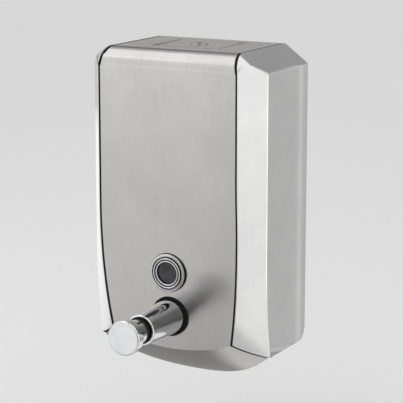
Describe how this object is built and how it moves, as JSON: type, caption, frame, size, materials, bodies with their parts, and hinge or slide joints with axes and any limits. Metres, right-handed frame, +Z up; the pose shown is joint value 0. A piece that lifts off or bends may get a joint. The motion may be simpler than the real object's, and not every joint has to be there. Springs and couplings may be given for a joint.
{
  "type": "wall soap dispenser",
  "caption": "Wall-mounted steel soap dispenser with bevelled sides, a lockable filler lid on top, a round sight window and a horizontal push pump.",
  "frame": {"origin": "middle of the four wall screw holes, on the bracket's wall face", "axes": "+X to the right seen from the front, +Y into the wall, +Z up"},
  "size_m": [0.125, 0.1262, 0.216],
  "materials": {
    "satin_steel": "fine satin brush",
    "polished_steel": "fine polish",
    "chrome": "mirror",
    "zinc_steel": "zinc plated",
    "bright_fixings": "bright",
    "lock_metal": "black oxide",
    "black_rubber": "matt",
    "black_plastic": "fine grain",
    "tank_plastic": "natural, slightly translucent",
    "white_acetal": "smooth",
    "smoked_lens": "clear, smoked"
  },
  "bodies": {
    "case": {"front_cover": "satin_steel", "left_side_panel": "polished_steel", "right_side_panel": "polished_steel", "left_seam_seal": "black_rubber", "right_seam_seal": "black_rubber", "back_plate": "zinc_steel", "wall_bracket": "zinc_steel", "retaining_screw": "bright_fixings", "filler_frame": "black_plastic", "hinge_pins": "bright_fixings", "tank": "tank_plastic", "tank_pads": "black_rubber", "window_seal": "black_rubber", "window_bezel": "chrome", "window_lens": "smoked_lens", "window_nut": "black_plastic", "pump_seat": "black_rubber", "pump_sleeve": "chrome", "neck_wiper": "black_rubber", "pump_spacer": "black_plastic", "tank_seal": "black_rubber", "pump_cylinder": "white_acetal", "inlet_cap": "black_plastic", "return_spring": "bright_fixings"},
    "lid": {"filler_lid": "satin_steel", "lock_barrel": "lock_metal", "lock_nut": "lock_metal"},
    "lock": {"lock_plug": "lock_metal", "lock_cam": "lock_metal", "cam_screw": "bright_fixings"},
    "push": {"push_button": "chrome", "outlet_nozzle": "black_plastic", "piston": "white_acetal", "piston_seal": "black_rubber"},
    "ball": {"inlet_ball": "bright_fixings"}
  },
  "joints": [
    {"name": "push_slide", "type": "slide", "parent": "case", "child": "push", "axis": [0, 1, 0], "range_m": [0, 0.011], "stiffness_N_per_m": 600, "springref_m": -0.006, "deforming": ["return_spring"]},
    {"name": "lid_hinge", "type": "hinge", "parent": "case", "child": "lid", "pos_m": [0, -0.01885, 0.0868], "axis": [-1, 0, 0], "range_deg": [0, 110]},
    {"name": "lock_turn", "type": "hinge", "parent": "lid", "child": "lock", "pos_m": [0, -0.03, 0.09], "axis": [0, 0, -1], "range_deg": [0, 90]},
    {"name": "ball_lift", "type": "slide", "parent": "case", "child": "ball", "axis": [0, -1, 0], "range_m": [0, 0.001]}
  ]
}
